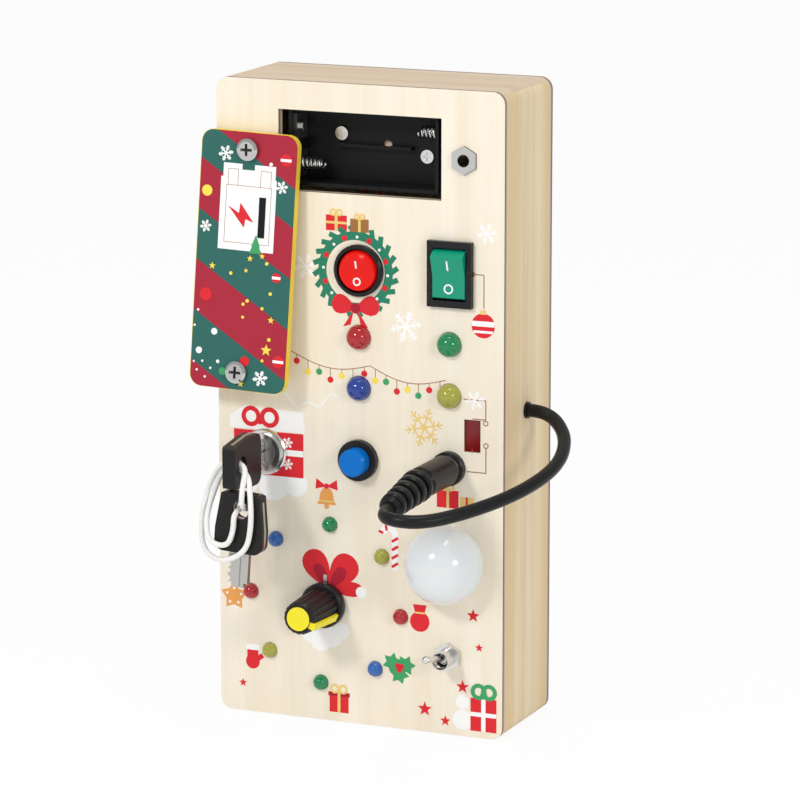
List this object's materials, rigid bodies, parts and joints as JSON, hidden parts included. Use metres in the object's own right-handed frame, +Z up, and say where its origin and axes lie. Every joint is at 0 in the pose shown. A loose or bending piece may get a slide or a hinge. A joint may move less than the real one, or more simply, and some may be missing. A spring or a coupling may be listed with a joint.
{
  "type": "wooden busy board",
  "caption": "Upright wooden busy board with rockers, push button, key lock, knob, toggle, plug on a cable, coloured lamps and a swinging cover over its battery window.",
  "frame": {"origin": "centre of the flat bottom face", "axes": "+X to the right seen from the front, -Y out of the front face, +Z up"},
  "size_m": [0.1278, 0.1019, 0.21],
  "materials": {
    "birch_ply": "satin",
    "solid_pine": "satin",
    "printed_cover": "satin",
    "steel_bright": "gloss",
    "steel_plain": "satin",
    "black_plastic": "satin",
    "black_rubber": "satin",
    "red_clear": "gloss",
    "green_clear": "gloss",
    "blue_button": "gloss",
    "lamp_red": "gloss",
    "lamp_blue": "gloss",
    "lamp_green": "gloss",
    "lamp_yellow": "gloss",
    "milky_plastic": "gloss",
    "yellow_plastic": "satin",
    "white_cord": "matte",
    "board_green": "satin",
    "wire_red": "satin"
  },
  "bodies": {
    "board": {"front_panel": "birch_ply", "back_panel": "birch_ply", "frame_top_board": "solid_pine", "frame_bottom_board": "solid_pine", "frame_left_board": "solid_pine", "frame_right_board": "solid_pine", "holder_support_block": "solid_pine", "cover_hex_nuts": "steel_bright", "cover_pivot_screw": "steel_bright", "key_lock_housing": "steel_bright", "toggle_body": "steel_bright", "toggle_nut": "steel_bright", "battery_springs": "steel_bright", "battery_contacts": "steel_bright", "back_panel_screws": "steel_plain", "battery_holder_screws": "steel_plain", "key_lock_nut": "steel_plain", "potentiometer_body": "steel_plain", "potentiometer_nut": "steel_plain", "blue_button_spring": "steel_plain", "battery_holder": "black_plastic", "red_rocker_housing": "black_plastic", "green_rocker_housing": "black_plastic", "blue_button_housing": "black_plastic", "blue_button_nut": "black_plastic", "jack_body": "black_plastic", "jack_collar_nut": "black_plastic", "plug_cable": "black_rubber", "cable_grommet": "black_rubber", "large_led_red": "lamp_red", "small_leds_red": "lamp_red", "red_light_window": "lamp_red", "large_led_blue": "lamp_blue", "small_leds_blue": "lamp_blue", "large_led_green": "lamp_green", "small_leds_green": "lamp_green", "large_led_yellow": "lamp_yellow", "small_leds_yellow": "lamp_yellow", "bulb_dome": "milky_plastic", "control_board": "board_green", "led_ring_board": "board_green", "bulb_led_base": "board_green", "battery_wires": "wire_red"},
    "cover": {"cover_plate": "printed_cover"},
    "lock_screw": {"cover_lock_screw": "steel_bright"},
    "red_paddle": {"red_rocker_paddle": "red_clear"},
    "green_paddle": {"green_rocker_paddle": "green_clear"},
    "button": {"blue_button_cap": "blue_button"},
    "lock_plug": {"key_lock_plug": "steel_bright"},
    "key": {"key_blade": "steel_plain", "key_bow": "black_plastic"},
    "spare_key": {"spare_key_blade": "steel_plain", "spare_key_bow": "black_plastic", "key_string": "white_cord"},
    "knob": {"control_knob": "black_plastic", "knob_pointer": "yellow_plastic", "potentiometer_shaft": "steel_plain"},
    "toggle": {"toggle_lever": "steel_bright"},
    "plug": {"plug_sleeve": "steel_bright", "plug_grip": "black_rubber"}
  },
  "joints": [
    {"name": "cover_swing", "type": "hinge", "parent": "board", "child": "cover", "pos_m": [-0.0363, -0.0219, 0.1878], "axis": [0, 1, 0], "range_deg": [-24, 268.35]},
    {"name": "cover_lock_turn", "type": "hinge", "parent": "cover", "child": "lock_screw", "pos_m": [-0.03837, -0.03087, 0.11597], "axis": [0.0024, -0.9966, 0.0819], "continuous": true},
    {"name": "red_rocker_tilt", "type": "hinge", "parent": "board", "child": "red_paddle", "pos_m": [0.0002, -0.0195, 0.1503], "axis": [1, 0, 0], "range_deg": [-18, 0]},
    {"name": "green_rocker_tilt", "type": "hinge", "parent": "board", "child": "green_paddle", "pos_m": [0.0319, -0.019, 0.1513], "axis": [1, 0, 0], "range_deg": [-18, 0]},
    {"name": "blue_button_press", "type": "slide", "parent": "board", "child": "button", "axis": [0, 1, 0], "range_m": [0, 0.0025], "stiffness_N_per_m": 200, "deforming": ["blue_button_spring"]},
    {"name": "key_turn", "type": "hinge", "parent": "board", "child": "lock_plug", "pos_m": [-0.0331, -0.0205, 0.0883], "axis": [0, 1, 0], "range_deg": [0, 90]},
    {"name": "key_pull", "type": "slide", "parent": "lock_plug", "child": "key", "axis": [0, -1, 0], "range_m": [0, 0.012], "deforming": ["key_string"]},
    {"name": "spare_key_hang", "type": "hinge", "parent": "key", "child": "spare_key", "pos_m": [-0.0331, -0.0433, 0.0883], "axis": [0, 1, 0], "range_deg": [-90, 0]},
    {"name": "knob_turn", "type": "hinge", "parent": "board", "child": "knob", "pos_m": [-0.0121, -0.0205, 0.0392], "axis": [0, 1, 0], "range_deg": [-255, 45]},
    {"name": "toggle_tilt", "type": "hinge", "parent": "board", "child": "toggle", "pos_m": [0.0314, -0.024, 0.0262], "axis": [1, 0, 0], "range_deg": [0, 25]},
    {"name": "plug_pull", "type": "slide", "parent": "board", "child": "plug", "axis": [0, -1, 0], "range_m": [0, 0.012], "deforming": ["plug_cable"]}
  ],
  "couplings": [
    {"joint": "spare_key_hang", "follows": "key_turn", "ratio": -1}
  ]
}
